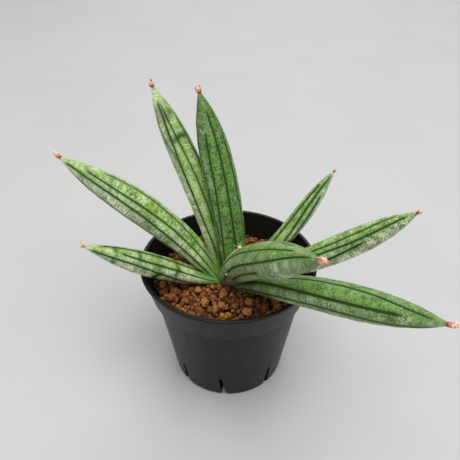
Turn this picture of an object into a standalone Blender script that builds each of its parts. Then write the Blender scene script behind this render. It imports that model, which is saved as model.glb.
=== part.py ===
"""Potted snake plant: a small black nursery pot, a bed of lava grit and eight round leaves on one short stem.

Metres, +Z up. The origin is the centre of the pot's underside, which stands on z = 0. The front is -Y.
"""

import collections
import math
import random

import bmesh
import bpy
from mathutils import Matrix, Vector, noise
from mathutils.bvhtree import BVHTree

# Pot: a body, a wider band above it and a lip round the top. Radii are outside ones.
POT_HEIGHT = 0.083
LIP_RADIUS = 0.0525
LIP_DEPTH = 0.0022
LIP_WIDTH = 0.0022
BAND_TOP_RADIUS = 0.0513
BAND_FOOT_RADIUS = 0.0473
BAND_HEIGHT = 0.0188
BODY_TOP_RADIUS = 0.0449
BASE_RADIUS = 0.0352
BASE_ROUND = 0.0012
WALL = 0.0012
FLOOR = 0.0016
POT_SIDES = 72

# Drainage slits, cut through the foot of the wall and in under the base.
SLIT_COUNT = 8
SLIT_WIDTH = 0.0032
SLIT_HEIGHT = 0.0085
SLIT_REACH = 0.006
SLIT_TURN = math.radians(-94)

# Soil bed. Its top lies SOIL_DROP below the lip and falls a little more at the wall.
SOIL_DROP = 0.0128
SOIL_FALL = 0.0020
SOIL_FALL_WIDTH = 0.008
SOIL_LUMP = 0.0011
SOIL_LUMP_SIZE = 0.009
SOIL_SIDES = 56
SOIL_RINGS = 13

# Loose grains that lie on the bed.
GRAIN_COUNT = 24
GRAIN_LEAST = 0.0040
GRAIN_MOST = 0.0064
GRAIN_SPACING = 0.0016
GRAIN_LEAF_ROOM = 0.0010
GRAIN_REACH = 0.6
GRAIN_ROUGHNESS = 0.28
GRAIN_TRIES = 4000
GRAIN_SEED = 5

# Short stem that all the leaves stand on. Its dome rises a little out of the soil.
STEM_CENTRE = (0.001, -0.001)
STEM_RADIUS = 0.011
STEM_RISE = 0.003
STEM_DOME = 0.009
STEM_FOOT_RADIUS = 0.006
STEM_LENGTH = 0.030
STEM_SIDES = 28

# Clearance between pieces that touch.
GAP = 0.0003

# Leaves. Every leaf is a rounded blade with a horny point and a channel on top that fades out by
# LEAF_SHAPED_AT along it. Thickness is a share of half the width, and channel a share of thickness.
LEAF_SIDES = 16
LEAF_STATIONS = 22
LEAF_STATION_CROWDING = 1.25
LEAF_EMBED = 0.005
LEAF_LIP_ROOM = 0.0004
LEAF_LIFT_STEP = 0.5
LIP_PROBES = 360
LEAF_POINT_POWER = 2.3
LEAF_POINT_LEAST = 0.0005
LEAF_SHAPED_AT = 0.4
SKIN_STEP = 0.02
FOOT_THICKNESS = 0.69
BLADE_THICKNESS = 0.96
FOOT_CHANNEL = 0.80
BLADE_CHANNEL = 0.12

Leaf = collections.namedtuple(
    "Leaf", "name foot lift heading swing rise tip_rise curl length width peak foot_share"
)
# Angles are in degrees and lengths in metres. foot is measured from the pot's axis and lift from the soil.
# heading is the compass direction from +X and swing its change along the leaf. rise is the slope at the
# foot, tip_rise the slope at the point and curl a late bend that acts near the point only. peak is where
# along the leaf it is widest, and foot_share the share of the full width that it has at the foot.
# The leaves are listed from the innermost out, which is the order in which they wrap one another.
LEAVES = (
    Leaf("leaf_tall_front", (0.0045, 0.003), 0.001, 127, 1, 81, 62, 3, 0.110, 0.0194, 0.44, 0.70),
    Leaf("leaf_tall_left", (-0.004, 0.006), 0.001, 146, -10, 80, 43, 14, 0.117, 0.0163, 0.51, 0.66),
    Leaf("leaf_short_right", (0.010, 0.006), 0.0005, 19, 6, 26, 76, -30, 0.0815, 0.0118, 0.45, 0.75),
    Leaf("leaf_upper_left", (-0.006, -0.001), 0.002, 172, -2, 54, 17, 19, 0.1155, 0.0198, 0.43, 0.68),
    Leaf("leaf_front", (0.003, -0.004), 0.002, -73.5, 23.5, 59, 16, 17, 0.103, 0.0225, 0.55, 0.62),
    Leaf("leaf_upper_right", (0.009, -0.002), 0.0016, -15, 2.5, 23, 48, -9, 0.109, 0.0165, 0.50, 0.66),
    Leaf("leaf_lower_left", (-0.008, -0.005), 0.0024, -165, -1, 21, 38, -10, 0.0815, 0.0150, 0.38, 0.66),
    Leaf("leaf_lower_right", (0.007, -0.008), 0.0005, -52, 8, 35, 12, 10, 0.135, 0.0178, 0.53, 0.60),
)

BAND_FOOT_Z = POT_HEIGHT - BAND_HEIGHT
SOIL_LEVEL = POT_HEIGHT - SOIL_DROP


def make_material(name, colour, roughness, metallic=0.0):
    """A plain Principled material."""
    material = bpy.data.materials.new(name)
    material.use_nodes = True
    shader = material.node_tree.nodes["Principled BSDF"]
    shader.inputs["Base Color"].default_value = (*colour, 1.0)
    shader.inputs["Roughness"].default_value = roughness
    shader.inputs["Metallic"].default_value = metallic
    return material


def make_object(name, bm, material=None, parent=None):
    """Turns a bmesh into an object with smooth faces."""
    mesh = bpy.data.meshes.new(name)
    bm.to_mesh(mesh)
    bm.free()
    mesh.shade_smooth()
    mesh.set_sharp_from_angle(angle=math.radians(35))
    if material:
        mesh.materials.append(material)
    obj = bpy.data.objects.new(name, mesh)
    bpy.context.scene.collection.objects.link(obj)
    obj.parent = parent
    return obj


def make_cutter(name, bm):
    """An object that only cuts others."""
    cutter = make_object(name, bm)
    cutter.hide_render = True
    cutter.display_type = "WIRE"
    return cutter


def cut(obj, cutter):
    """Takes the cutter's shape out of an object."""
    boolean = obj.modifiers.new("cut by " + cutter.name, "BOOLEAN")
    boolean.operation = "DIFFERENCE"
    boolean.solver = "EXACT"
    boolean.object = cutter


def turn(profile, sides):
    """Spins an open (radius, height) profile round the Z axis into a closed body."""
    bm = bmesh.new()
    points = [bm.verts.new((radius, 0, height)) for radius, height in profile]
    for low, high in zip(points, points[1:]):
        bm.edges.new((low, high))
    bmesh.ops.spin(
        bm,
        geom=bm.verts[:] + bm.edges[:],
        cent=(0, 0, 0),
        axis=(0, 0, 1),
        angle=2 * math.pi,
        steps=sides,
        use_merge=True,
    )
    bmesh.ops.remove_doubles(bm, verts=bm.verts, dist=1e-6)
    bmesh.ops.recalc_face_normals(bm, faces=bm.faces)
    return bm


def pot_outside():
    """Outer half of the pot's profile, from the middle of the base to the top of the lip."""
    under_lip = POT_HEIGHT - LIP_DEPTH
    return [
        (0, 0),
        (BASE_RADIUS - BASE_ROUND, 0),
        (BASE_RADIUS, BASE_ROUND),
        (BODY_TOP_RADIUS, BAND_FOOT_Z - WALL),
        (BODY_TOP_RADIUS + WALL / 2, BAND_FOOT_Z),
        (BAND_FOOT_RADIUS - WALL / 4, BAND_FOOT_Z),
        (BAND_FOOT_RADIUS, BAND_FOOT_Z + WALL / 4),
        (BAND_TOP_RADIUS, under_lip - LIP_DEPTH / 3),
        (LIP_RADIUS, under_lip),
        (LIP_RADIUS, POT_HEIGHT - LIP_DEPTH / 3),
        (LIP_RADIUS - LIP_WIDTH / 4, POT_HEIGHT),
    ]


def pot_inside(clearance):
    """Inner wall of the pot, from the lip down to the floor, drawn in by a clearance."""
    inset = WALL + clearance
    return [
        (BAND_TOP_RADIUS - inset, POT_HEIGHT - LIP_DEPTH),
        (BAND_FOOT_RADIUS - inset, BAND_FOOT_Z + WALL + clearance),
        (BODY_TOP_RADIUS - inset, BAND_FOOT_Z + clearance),
        (BASE_RADIUS + WALL / 4 - inset, FLOOR + clearance),
    ]


def inner_radius(height, clearance):
    """Inner radius of the pot at a height."""
    wall = pot_inside(clearance)
    for (high_radius, high), (low_radius, low) in zip(wall, wall[1:]):
        if height > low:
            break
    share = (height - low) / (high - low)
    return low_radius + (high_radius - low_radius) * share


def slit_blades():
    """Flat blades, one for each drainage slit."""
    bm = bmesh.new()
    reach = SLIT_REACH + 4 * WALL
    for number in range(SLIT_COUNT):
        blade = bmesh.ops.create_cube(bm, size=1)["verts"]
        size = Matrix.Diagonal((reach, SLIT_WIDTH, 2 * SLIT_HEIGHT, 1))
        out = Matrix.Translation((BASE_RADIUS - SLIT_REACH + reach / 2, 0, 0))
        about = Matrix.Rotation(SLIT_TURN + 2 * math.pi * number / SLIT_COUNT, 4, "Z")
        bmesh.ops.transform(bm, verts=blade, matrix=about @ out @ size)
    return bm


def make_pot(parent):
    profile = pot_outside()
    profile.append((LIP_RADIUS - LIP_WIDTH, POT_HEIGHT))
    profile += pot_inside(0)
    profile.append((0, FLOOR))
    black = make_material("black plastic", (0.028, 0.028, 0.027), 0.42)
    pot = make_object("pot", turn(profile, POT_SIDES), black, parent)
    cut(pot, make_cutter("slit_blades", slit_blades()))
    return pot


def soil_top(x, y, edge):
    """Height of the soil at a place, with lumps that fade out at the wall."""
    radius = math.hypot(x, y)
    near_wall = max(0.0, 1 - (edge - radius) / SOIL_FALL_WIDTH)
    lump = noise.noise(Vector((x, y, 0)) / SOIL_LUMP_SIZE) * SOIL_LUMP
    lump += noise.noise(Vector((x, y, 1)) / SOIL_LUMP_SIZE * 2.3) * SOIL_LUMP / 2
    return SOIL_LEVEL - SOIL_FALL * near_wall**2 + lump * (1 - near_wall)


def make_soil(parent):
    edge_level = SOIL_LEVEL - SOIL_FALL
    edge = inner_radius(edge_level, GAP)
    profile = [(edge * ring / SOIL_RINGS, SOIL_LEVEL) for ring in range(SOIL_RINGS)]
    profile.append((edge, edge_level))
    profile += [(radius, height) for radius, height in pot_inside(GAP) if height < edge_level]
    profile.append((0, FLOOR + GAP))
    bm = turn(profile, SOIL_SIDES)
    for point in bm.verts:
        if point.co.z > SOIL_LEVEL - SOIL_FALL / 2:
            point.co.z = soil_top(point.co.x, point.co.y, edge)
    grit = make_material("lava grit bed", (0.19, 0.075, 0.03), 0.95)
    return make_object("soil_bed", bm, grit, parent)


def stem_body(grow):
    """The short stem, grown outwards by a clearance."""
    dome_centre = SOIL_LEVEL + STEM_RISE - STEM_DOME
    foot = dome_centre - STEM_LENGTH
    profile = [(0, foot - grow), (STEM_FOOT_RADIUS + grow, foot - grow)]
    for step in range(9):
        angle = math.pi / 2 * step / 8
        radius = (STEM_RADIUS + grow) * math.cos(angle)
        height = dome_centre + (STEM_DOME + grow) * math.sin(angle)
        profile.append((radius if step < 8 else 0, height))
    bm = turn(profile, STEM_SIDES)
    bmesh.ops.translate(bm, verts=bm.verts, vec=(*STEM_CENTRE, 0))
    return bm


def leaf_taper(leaf, along):
    """Share of its full width that a leaf has at a place along it, 0 at the foot and 1 at the point."""
    if along < leaf.peak:
        swell = math.sin(max(along, 0) / leaf.peak * math.pi / 2)
        return leaf.foot_share + (1 - leaf.foot_share) * swell
    return 1 - ((along - leaf.peak) / (1 - leaf.peak)) ** LEAF_POINT_POWER


def leaf_direction(leaf, along):
    """Forward, sideways and upward directions of a leaf at a place along it."""
    heading = math.radians(leaf.heading + leaf.swing * along)
    late_bend = leaf.curl * max(along, 0) ** 4
    rise = math.radians(leaf.rise + (leaf.tip_rise - leaf.rise) * along + late_bend)
    level = Vector((math.cos(heading), math.sin(heading), 0))
    forward = level * math.cos(rise) + Vector((0, 0, math.sin(rise)))
    upward = Vector((0, 0, math.cos(rise))) - level * math.sin(rise)
    return forward, forward.cross(upward), upward


def leaf_section(leaf, along, around):
    """Sideways and upward place of a point on a leaf's skin. The upper face is channelled near the foot."""
    half = max(leaf.width / 2 * leaf_taper(leaf, along), LEAF_POINT_LEAST)
    filled = min(max(along, 0) / LEAF_SHAPED_AT, 1)
    thick = half * (FOOT_THICKNESS + (BLADE_THICKNESS - FOOT_THICKNESS) * filled)
    channel = thick * (FOOT_CHANNEL + (BLADE_CHANNEL - FOOT_CHANNEL) * filled)
    side = half * math.cos(around)
    up = thick * math.sin(around) - channel * max(math.sin(around), 0) ** 2
    return side, up


def leaf_body(leaf, grow):
    """A leaf as a closed body, grown outwards by a clearance."""
    embed = LEAF_EMBED + grow
    start = -embed / leaf.length
    spine = Vector((*leaf.foot, SOIL_LEVEL + leaf.lift))
    spine -= leaf_direction(leaf, 0)[0] * embed
    bm = bmesh.new()
    rings = []
    last = start
    for station in range(LEAF_STATIONS + 1):
        share = 1 - (1 - station / LEAF_STATIONS) ** LEAF_STATION_CROWDING
        along = start + (1 - start) * share
        forward = leaf_direction(leaf, (last + along) / 2)[0]
        spine = spine + forward * (along - last) * leaf.length
        last = along
        forward, sideways, upward = leaf_direction(leaf, along)
        ring = []
        for number in range(LEAF_SIDES):
            around = 2 * math.pi * number / LEAF_SIDES
            side, up = leaf_section(leaf, along, around)
            next_side, next_up = leaf_section(leaf, along, around + SKIN_STEP)
            past_side, past_up = leaf_section(leaf, along, around - SKIN_STEP)
            out = Vector((next_up - past_up, past_side - next_side)).normalized() * grow
            place = spine + sideways * (side + out.x) + upward * (up + out.y)
            ring.append(bm.verts.new(place))
        rings.append(ring)
    for near, far in zip(rings, rings[1:]):
        for number in range(LEAF_SIDES):
            after = (number + 1) % LEAF_SIDES
            bm.faces.new((near[number], near[after], far[after], far[number]))
    tip = bm.verts.new(spine + forward * (LEAF_POINT_LEAST + grow))
    root = bm.verts.new(sum((point.co for point in rings[0]), Vector()) / LEAF_SIDES)
    for number in range(LEAF_SIDES):
        after = (number + 1) % LEAF_SIDES
        bm.faces.new((rings[-1][number], rings[-1][after], tip))
        bm.faces.new((rings[0][after], rings[0][number], root))
    bmesh.ops.recalc_face_normals(bm, faces=bm.faces)
    return bm


def height_over_lip(leaf):
    """Lowest height at which a leaf crosses the rim of the pot, or None for a leaf that stays inside it."""
    bm = leaf_body(leaf, 0)
    skin = BVHTree.FromBMesh(bm)
    bm.free()
    heights = []
    for radius in (BAND_TOP_RADIUS - WALL, LIP_RADIUS):
        for step in range(LIP_PROBES):
            below = Matrix.Rotation(math.tau * step / LIP_PROBES, 3, "Z") @ Vector((radius, 0, 0))
            hit = skin.ray_cast(below, Vector((0, 0, 1)))[0]
            if hit:
                heights.append(hit.z)
    return min(heights, default=None)


def lifted_over_lip(leaf):
    """The leaf with its foot steepened, where it needs to be, until the leaf passes clear over the lip."""
    height = height_over_lip(leaf)
    while height is not None and height < POT_HEIGHT + LEAF_LIP_ROOM:
        leaf = leaf._replace(rise=leaf.rise + LEAF_LIFT_STEP)
        height = height_over_lip(leaf)
    return leaf


def island_of(start):
    """All faces joined to one face across shared edges."""
    found = {start}
    waiting = [start]
    while waiting:
        for edge in waiting.pop().edges:
            for face in edge.link_faces:
                if face not in found:
                    found.add(face)
                    waiting.append(face)
    return found


def settle_cuts(obj):
    """Applies an object's cuts, and drops any offcut that came loose from its main body."""
    graph = bpy.context.evaluated_depsgraph_get()
    mesh = bpy.data.meshes.new_from_object(obj.evaluated_get(graph))
    bm = bmesh.new()
    bm.from_mesh(mesh)
    left = set(bm.faces)
    islands = []
    while left:
        islands.append(island_of(next(iter(left))))
        left -= islands[-1]
    main_body = max(islands, key=len)
    offcuts = [face for face in bm.faces if face not in main_body]
    bmesh.ops.delete(bm, geom=offcuts, context="FACES")
    bm.to_mesh(mesh)
    bm.free()
    obj.modifiers.clear()
    obj.data = mesh


def make_plant(parent):
    """The stem and its leaves. Each leaf is trimmed where the stem and the leaves inside it stand."""
    pale = make_material("stem skin", (0.30, 0.33, 0.16), 0.6)
    stem = make_object("short_stem", stem_body(0), pale, parent)
    cutters = [make_cutter("stem_room", stem_body(GAP))]
    green = make_material("leaf skin", (0.26, 0.42, 0.20), 0.42)
    leaves = []
    for leaf in map(lifted_over_lip, LEAVES):
        blade = make_object(leaf.name, leaf_body(leaf, 0), green, stem)
        for cutter in cutters:
            cut(blade, cutter)
        settle_cuts(blade)
        leaves.append(blade)
        cutters.append(make_cutter(leaf.name + "_room", leaf_body(leaf, GAP)))
    return leaves, cutters


def grain_body(size, draw):
    """A rough, rounded grain of about a given size."""
    bm = bmesh.new()
    bmesh.ops.create_icosphere(bm, subdivisions=2, radius=size / 2)
    stretch = (draw.uniform(0.85, 1.1), draw.uniform(0.75, 1.0), draw.uniform(0.7, 0.95))
    about = Matrix.Rotation(draw.uniform(0, math.tau), 4, "Z")
    tilt = Matrix.Rotation(draw.uniform(-0.5, 0.5), 4, "X")
    bmesh.ops.transform(bm, verts=bm.verts, matrix=about @ tilt @ Matrix.Diagonal((*stretch, 1)))
    shift = Vector((draw.uniform(-9, 9), draw.uniform(-9, 9), draw.uniform(-9, 9)))
    for point in bm.verts:
        point.co *= 1 + GRAIN_ROUGHNESS * noise.noise(point.co / size * 2.2 + shift)
    return bm


def drop_height(bm, place, ground):
    """Height at which a grain over a place comes down on the ground, or None over a hole."""
    high = POT_HEIGHT
    falls = []
    for point in bm.verts:
        start = Vector((place.x + point.co.x, place.y + point.co.y, high + point.co.z))
        hit = ground.ray_cast(start, Vector((0, 0, -1)))[0]
        if hit is None:
            return None
        falls.append(start.z - hit.z)
    return high - min(falls) + GAP


def tree_of(obj):
    """A search tree of an object's finished faces."""
    return BVHTree.FromObject(obj, bpy.context.evaluated_depsgraph_get())


def too_close(place, size, other, wide):
    """Whether a grain at a place would lie nearer than the spacing to another one."""
    return (place - other).to_2d().length < (size + wide) * GRAIN_REACH + GRAIN_SPACING


def make_grains(parent, soil, leaves):
    """Loose grains that lie apart on the soil, clear of the leaves and of the pot."""
    draw = random.Random(GRAIN_SEED)
    ground = tree_of(soil)
    obstacles = [tree_of(leaf) for leaf in leaves]
    rust = make_material("lava grain", (0.27, 0.10, 0.04), 0.9)
    edge = inner_radius(SOIL_LEVEL, GAP)
    placed = []
    for _ in range(GRAIN_TRIES):
        if len(placed) == GRAIN_COUNT:
            break
        size = draw.uniform(GRAIN_LEAST, GRAIN_MOST)
        reach = (edge - size * GRAIN_REACH - GRAIN_SPACING) * math.sqrt(draw.random())
        angle = draw.uniform(0, math.tau)
        place = Vector((reach * math.cos(angle), reach * math.sin(angle), 0))
        if any(too_close(place, size, other, wide) for other, wide in placed):
            continue
        bm = grain_body(size, draw)
        height = drop_height(bm, place, ground)
        if height is None or height < SOIL_LEVEL - SOIL_FALL:
            bm.free()
            continue
        place.z = height
        room = size * GRAIN_REACH + GRAIN_LEAF_ROOM
        if any(tree.find_nearest(place, room)[0] is not None for tree in obstacles):
            bm.free()
            continue
        grain = make_object("grain_%02d" % (len(placed) + 1), bm, rust, parent)
        grain.location = place
        placed.append((place, size))


def main():
    for obj in list(bpy.data.objects):
        bpy.data.objects.remove(obj)
    plant = bpy.data.objects.new("potted_snake_plant", None)
    bpy.context.scene.collection.objects.link(plant)
    make_pot(plant)
    soil = make_soil(plant)
    leaves, cutters = make_plant(plant)
    for cutter in cutters:
        cut(soil, cutter)
    settle_cuts(soil)
    make_grains(plant, soil, leaves)


main()
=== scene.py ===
"""Potted snake plant: the finished looks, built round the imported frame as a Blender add-on.

Metres, +Z up. The pot stands on z = 0 with its axis at the origin, and the front is -Y.
"""

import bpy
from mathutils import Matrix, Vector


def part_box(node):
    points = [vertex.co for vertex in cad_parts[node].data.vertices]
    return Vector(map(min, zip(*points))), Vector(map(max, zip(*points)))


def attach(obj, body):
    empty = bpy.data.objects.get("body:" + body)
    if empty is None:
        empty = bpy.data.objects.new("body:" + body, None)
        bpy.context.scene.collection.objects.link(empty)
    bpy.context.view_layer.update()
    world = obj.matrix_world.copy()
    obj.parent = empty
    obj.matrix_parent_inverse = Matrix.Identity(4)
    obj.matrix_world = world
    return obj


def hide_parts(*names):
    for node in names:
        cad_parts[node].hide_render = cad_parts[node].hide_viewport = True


bl_info = {
    "name": "Potted Snake Plant",
    "version": (1, 0, 0),
    "blender": (4, 5, 0),
    "location": "View3D > Sidebar > Snake Plant",
    "description": "Builds a round-leaved snake plant in a small black pot of lava grit",
    "category": "Add Mesh",
}

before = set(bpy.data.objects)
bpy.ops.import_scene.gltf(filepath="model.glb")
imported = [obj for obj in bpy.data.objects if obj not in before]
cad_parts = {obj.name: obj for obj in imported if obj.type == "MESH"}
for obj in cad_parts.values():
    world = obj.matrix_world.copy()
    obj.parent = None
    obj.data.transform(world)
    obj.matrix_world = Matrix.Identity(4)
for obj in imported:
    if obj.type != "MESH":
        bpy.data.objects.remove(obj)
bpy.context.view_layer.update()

import collections
import math
import random

import bmesh
import bpy
import numpy as np
from bpy.props import FloatProperty, FloatVectorProperty, IntProperty, PointerProperty
from mathutils import Matrix, Vector, noise
from mathutils.bvhtree import BVHTree

BODY = "root"
UP = Vector((0, 0, 1))
# Points of a spun body that lie closer than WELD are merged, and those of a leaf closer than FINE_WELD.
WELD = 1e-6
FINE_WELD = 1e-7

# Places that come from the frame.
POT_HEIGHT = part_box("pot")[1].z
LIP_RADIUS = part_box("pot")[1].x
GRAIN_NODES = sorted(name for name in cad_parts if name.startswith("grain_"))

# Pot. Radii are outside ones, and the wall, the band and the lip are as the design has them. The drainage
# slits are taller than the design's, and every second one leans.
LIP_DEPTH = 0.0022
LIP_WIDTH = 0.0022
BAND_TOP_RADIUS = 0.0513
BAND_FOOT_RADIUS = 0.0473
BAND_FOOT_Z = POT_HEIGHT - 0.0188
BODY_TOP_RADIUS = 0.0449
BASE_RADIUS = 0.0352
BASE_ROUND = 0.0012
WALL = 0.0012
FLOOR = 0.0016
# The pot stands on a ring, and the middle of its base is hollow by BASE_HOLLOW.
BASE_HOLLOW = 0.0006
BASE_RING = 0.0034
EDGE_ROUND = 0.0007
# Corners of the inner wall from the lip down to the floor, as (radius, height).
INNER_WALL = (
    (BAND_TOP_RADIUS - WALL, POT_HEIGHT - LIP_DEPTH),
    (BAND_FOOT_RADIUS - WALL, BAND_FOOT_Z + WALL),
    (BODY_TOP_RADIUS - WALL, BAND_FOOT_Z),
    (BASE_RADIUS - 3 * WALL / 4, FLOOR),
)
# A slit reaches SLIT_REACH inwards from the foot, keeps SLIT_TOP_SHARE of its width at its top, and leans by
# SLIT_LEAN over its height. The first one is turned by SLIT_TURN about the pot's axis.
SLIT_COUNT = 8
SLIT_HEIGHT = 0.018
SLIT_REACH = 0.006
SLIT_TURN = math.radians(-94)
SLIT_TOP_SHARE = 0.45
SLIT_LEAN = 0.0036

# Soil, with its level, its fall to the wall and its heap as the design has them.
SOIL_LEVEL = POT_HEIGHT - 0.0128
SOIL_FALL = 0.0020
SOIL_FALL_WIDTH = 0.008
HEAP_CENTRE = (-0.004, -0.012)
HEAP_SPREAD = 0.020
HEAP_RISE = 0.003
GAP = 0.0003
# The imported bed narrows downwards, so that the slits look into a dark hollow.
BED_SETBACK = 0.0110
BED_RINGS = 40
BED_SIDES = 120
BED_ROUGHNESS = 0.0008
BED_TONE = 0.6
# A dropped grain takes the lowest of DROP_TRIES places, lies on its neighbours with TOUCH_SHARE of its
# radius, and is kept if its middle ends up below the finished soil by SINK_SHARE of its size.
GRAIN_SHAPES = 16
DROP_TRIES = 9
HEAP_CELL = 0.0005
TOUCH_SHARE = 0.92
SINK_SHARE = 0.1
# It is left out if a leaf, the stem or a large grain is nearer than CLEAR_SHARE of its radius, and the heap
# then rises by a grain with LEFT_OUT_SHARE of that radius.
CLEAR_SHARE = 0.7
LEFT_OUT_SHARE = 0.5
SMALL_BIAS = 2.2
GRIT_TONE = 0.9
# One dropped grain in LUMP_EVERY is a lump, and lies in the sector at the left front.
LUMP_EVERY = 36
LUMP_TONE = 0.35
LUMP_SIZES = (0.0055, 0.0070)
LUMP_SECTOR = (math.radians(-172), math.radians(-98))
OCHRE_PLACE = (-0.001, -0.034)
OCHRE_REACH = 0.0032
OCHRE_TONE = 1.0

# Leaves, on the design's middle lines, with fuller feet and blunter points than the design's.
LEAF_EMBED = 0.005
LEAF_POINT_LEAST = 0.0005
FOOT_SPREAD = 0.10
FOOT_THICKNESS = 0.69
BLADE_THICKNESS = 0.96
FOOT_CHANNEL = 0.80
BLADE_CHANNEL = 0.12
# The rows of faces crowd towards a leaf's point, and its skin ends POINT_REACH beyond its middle line.
CROWDING = 1.25
POINT_REACH = 0.0004
# Length of leaf that is one unit of the skin pattern.
SKIN_UNIT = 0.009
# Heights of the broad and the small swellings of the skin.
BROAD_SWELLING = 0.00016
SMALL_SWELLING = 0.00006
# How far before its start a groove begins to show, and the share of the leaf in which it comes or goes.
GROOVE_LEAD = 0.07
GROOVE_FADE = 0.05
# The tint beside a groove and the dip round it are HALO_SPREAD times as wide as the groove, and the dip has
# HALO_DEPTH of its depth.
HALO_SPREAD = 3.2
HALO_DEPTH = 0.35
# How far a cross band strays along the leaf, as a share of the leaf.
BAND_WAVER = 0.022

# foot is the (x, y) place of a leaf's foot and lift its height over the soil. Along the leaf its heading
# turns by swing and its rise becomes tip_rise, all in degrees, and curl bends its end. peak is where it is
# widest and foot_share the foot's share of that width. A higher point_power blunts its point, and its section
# is full from shaped_at on.
Leaf = collections.namedtuple(
    "Leaf",
    "name foot lift heading swing rise tip_rise curl length width peak foot_share point_power shaped_at",
)
LEAVES = (
    Leaf("tall_front", (0.0045, 0.003), 0.001, 127, 1, 81, 62, 3, 0.110, 0.0194, 0.44, 0.70, 3.2, 0.6),
    Leaf("tall_left", (-0.004, 0.006), 0.001, 146, -10, 80, 43, 14, 0.117, 0.0163, 0.51, 0.66, 3.0, 0.6),
    Leaf("short_right", (0.010, 0.006), 0.0005, 19, 6, 26, 76, -30, 0.0815, 0.0118, 0.45, 0.75, 3.0, 0.6),
    Leaf("upper_left", (-0.006, -0.001), 0.002, 172, -2, 54, 17, 19, 0.1155, 0.0198, 0.43, 0.68, 2.7, 0.6),
    Leaf("front", (0.003, -0.004), 0.002, -73.5, 23.5, 59, 16, 17, 0.103, 0.0208, 0.55, 0.90, 2.6, 0.35),
    Leaf("upper_right", (0.009, -0.002), 0.0016, -15, 2.5, 23, 48, -9, 0.109, 0.0165, 0.50, 0.66, 3.2, 0.6),
    Leaf("lower_left", (-0.008, -0.005), 0.0024, -165, -1, 21, 38, -10, 0.0815, 0.0150, 0.38, 0.66, 2.7, 0.6),
    Leaf("lower_right", (0.007, -0.008), 0.0005, -52, 8, 35, 12, 10, 0.135, 0.0178, 0.53, 0.60, 3.0, 0.6),
)

# A groove runs from start to end along its leaf, and angles gives where it lies round the leaf at four
# even steps: 90 is the middle of the upper face and 0 the leaf's right side. weight thins or thickens it.
Groove = collections.namedtuple("Groove", "start end angles weight", defaults=(1.0,))
GROOVES = {
    "tall_front": (
        Groove(0.10, 0.82, (165, 150, 145, 139)),
        Groove(0.10, 0.92, (82, 101, 102, 104)),
        Groove(0.18, 0.77, (32, 54, 62, 60)),
        Groove(0.35, 0.96, (180, 183, 194, 212), 0.7),
        Groove(0.24, 0.36, (172, 172, 172, 172), 0.5),
        Groove(0.10, 0.86, (-20, -16, -12, -8), 0.8),
        Groove(0.12, 0.90, (240, 246, 250, 252)),
        Groove(0.12, 0.74, (292, 296, 298, 300)),
    ),
    "tall_left": (
        Groove(0.12, 0.93, (132, 160, 154, 138)),
        Groove(0.30, 0.92, (106, 112, 119, 122), 0.6),
        Groove(0.66, 0.94, (165, 190, 206, 212), 0.5),
        Groove(0.12, 0.84, (58, 62, 64, 64)),
        Groove(0.10, 0.90, (8, 10, 12, 14)),
        Groove(0.12, 0.80, (-46, -44, -40, -40)),
        Groove(0.15, 0.92, (250, 254, 256, 258)),
    ),
    "short_right": (
        Groove(0.22, 0.97, (8, 32, 50, 36)),
        Groove(0.30, 0.82, (-26, -8, 4, 10)),
        Groove(0.15, 0.88, (84, 88, 90, 86)),
        Groove(0.15, 0.94, (136, 138, 140, 142)),
        Groove(0.18, 0.84, (196, 194, 192, 190)),
        Groove(0.20, 0.90, (262, 260, 258, 256)),
    ),
    "upper_left": (
        Groove(0.10, 0.97, (181, 168, 159, 158)),
        Groove(0.04, 0.87, (142, 130, 133, 117)),
        Groove(0.10, 0.80, (88, 84, 80, 80), 0.8),
        Groove(0.12, 0.92, (40, 38, 36, 36)),
        Groove(0.12, 0.84, (-14, -10, -6, -6)),
        Groove(0.12, 0.94, (216, 214, 212, 208), 0.7),
        Groove(0.15, 0.88, (272, 270, 268, 266)),
    ),
    "front": (
        Groove(0.14, 0.97, (-28, -1, 13, 68), 1.1),
        Groove(0.12, 0.88, (14, 38, 51, 78), 0.9),
        Groove(0.28, 0.64, (-40, -33, -28, -22), 0.8),
        Groove(0.12, 0.84, (112, 110, 108, 106)),
        Groove(0.14, 0.92, (160, 158, 156, 152)),
        Groove(0.15, 0.86, (212, 210, 208, 206)),
        Groove(0.15, 0.92, (270, 272, 274, 278)),
    ),
    "upper_right": (
        Groove(0.26, 0.97, (44, 40, 36, 54)),
        Groove(0.30, 0.74, (-4, 1, 8, 17), 1.1),
        Groove(0.36, 0.93, (74, 66, 72, 98), 0.8),
        Groove(0.15, 0.90, (126, 128, 130, 132)),
        Groove(0.18, 0.84, (184, 182, 180, 178)),
        Groove(0.18, 0.94, (236, 238, 240, 242)),
        Groove(0.20, 0.86, (300, 302, 304, 306)),
    ),
    "lower_left": (
        Groove(0.12, 0.96, (212, 182, 166, 186)),
        Groove(0.05, 0.77, (160, 136, 134, 120)),
        Groove(0.14, 0.90, (84, 82, 80, 80)),
        Groove(0.16, 0.84, (34, 32, 30, 30)),
        Groove(0.16, 0.92, (-28, -26, -24, -24)),
        Groove(0.20, 0.88, (262, 260, 258, 256)),
    ),
    "lower_right": (
        Groove(0.24, 0.97, (93, 89, 85, 52)),
        Groove(0.16, 0.88, (58, 35, 28, 30), 1.5),
        Groove(0.10, 0.97, (-10, -12, -14, -42)),
        Groove(0.14, 0.86, (146, 144, 142, 140)),
        Groove(0.16, 0.92, (198, 196, 194, 192)),
        Groove(0.18, 0.84, (246, 248, 250, 252)),
        Groove(0.18, 0.92, (296, 298, 300, 302)),
    ),
}

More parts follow.
